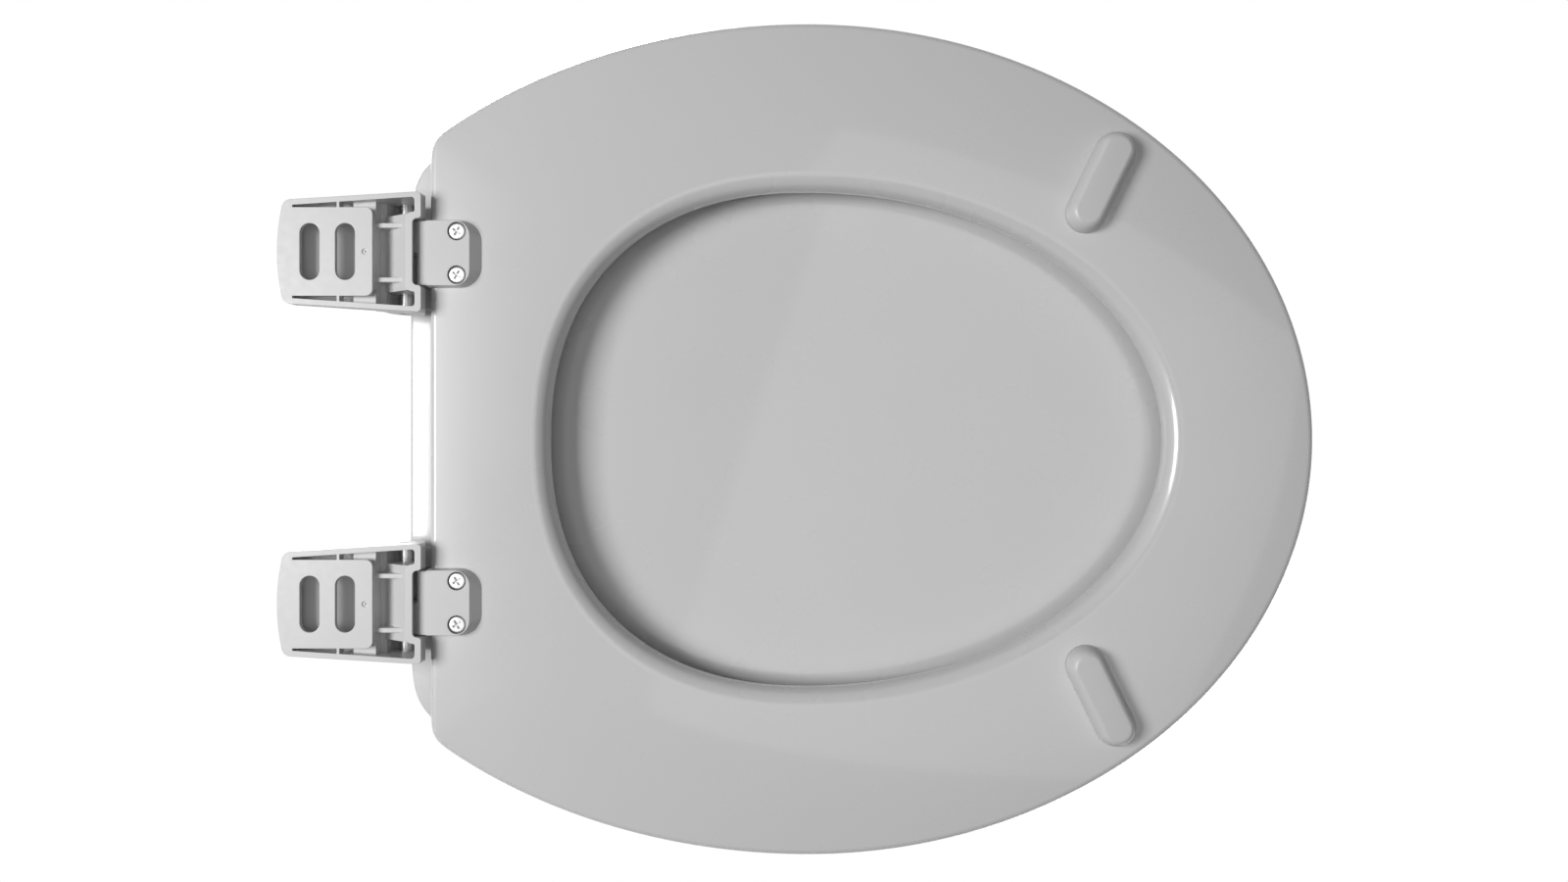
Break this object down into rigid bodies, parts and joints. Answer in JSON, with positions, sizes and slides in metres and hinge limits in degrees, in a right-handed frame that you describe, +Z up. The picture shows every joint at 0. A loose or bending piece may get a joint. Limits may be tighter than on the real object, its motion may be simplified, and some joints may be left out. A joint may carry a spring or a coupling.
{
  "type": "toilet seat",
  "caption": "Round-front toilet seat with lid: glossy white enamelled ring and lid on plastic hinges whose slotted bases bolt down through the bowl's fixing holes",
  "frame": {"origin": "on the bowl's rim, midway between the slots of the front pair, where the fixing bolts pass through the two hinge bases", "axes": "+Z up from the bowl's rim, +X to the front of the seat, +Y across it"},
  "size_m": [0.4612, 0.3758, 0.049],
  "materials": {
    "enamel": "moulded wood under glossy white enamel lacquer",
    "bumper": "smooth white plastic with a soft sheen",
    "hinge_plastic": "injection-moulded white plastic, satin",
    "steel": "plain steel"
  },
  "bodies": {
    "base": {"hinge_base_left": "hinge_plastic", "hinge_base_right": "hinge_plastic"},
    "ring": {"seat_ring": "enamel", "ring_bumper_left": "bumper", "ring_bumper_right": "bumper", "ring_leaf_left": "hinge_plastic", "ring_leaf_right": "hinge_plastic", "ring_screw_left_inner": "steel", "ring_screw_left_outer": "steel", "ring_screw_right_inner": "steel", "ring_screw_right_outer": "steel"},
    "lid": {"seat_lid": "enamel", "lid_bumper_left": "bumper", "lid_bumper_right": "bumper", "lid_leaf_left": "hinge_plastic", "lid_leaf_right": "hinge_plastic", "lid_screw_left_inner": "steel", "lid_screw_left_outer": "steel", "lid_screw_right_inner": "steel", "lid_screw_right_outer": "steel"},
    "cap_left": {"hinge_cap_left": "hinge_plastic"},
    "cap_right": {"hinge_cap_right": "hinge_plastic"},
    "pin_left": {"hinge_pin_left": "steel"},
    "pin_right": {"hinge_pin_right": "steel"}
  },
  "joints": [
    {"name": "ring_hinge", "type": "hinge", "parent": "base", "child": "ring", "pos_m": [0.0205, 0, 0.02], "axis": [0, -1, 0], "range_deg": [0, 95]},
    {"name": "lid_hinge", "type": "hinge", "parent": "ring", "child": "lid", "pos_m": [0.0205, 0, 0.02], "axis": [0, 1, 0], "range_deg": [-100, 0]},
    {"name": "cap_left_hinge", "type": "hinge", "parent": "base", "child": "cap_left", "pos_m": [-0.02585, -0.0775, 0.00817], "axis": [0, -1, 0], "range_deg": [0, 90]},
    {"name": "cap_right_hinge", "type": "hinge", "parent": "base", "child": "cap_right", "pos_m": [-0.02585, 0.0775, 0.00817], "axis": [0, -1, 0], "range_deg": [0, 90]},
    {"name": "pin_left_turn", "type": "hinge", "parent": "base", "child": "pin_left", "pos_m": [0.0205, -0.0775, 0.02], "axis": [0, -1, 0], "continuous": true},
    {"name": "pin_right_turn", "type": "hinge", "parent": "base", "child": "pin_right", "pos_m": [0.0205, 0.0775, 0.02], "axis": [0, -1, 0], "continuous": true}
  ]
}
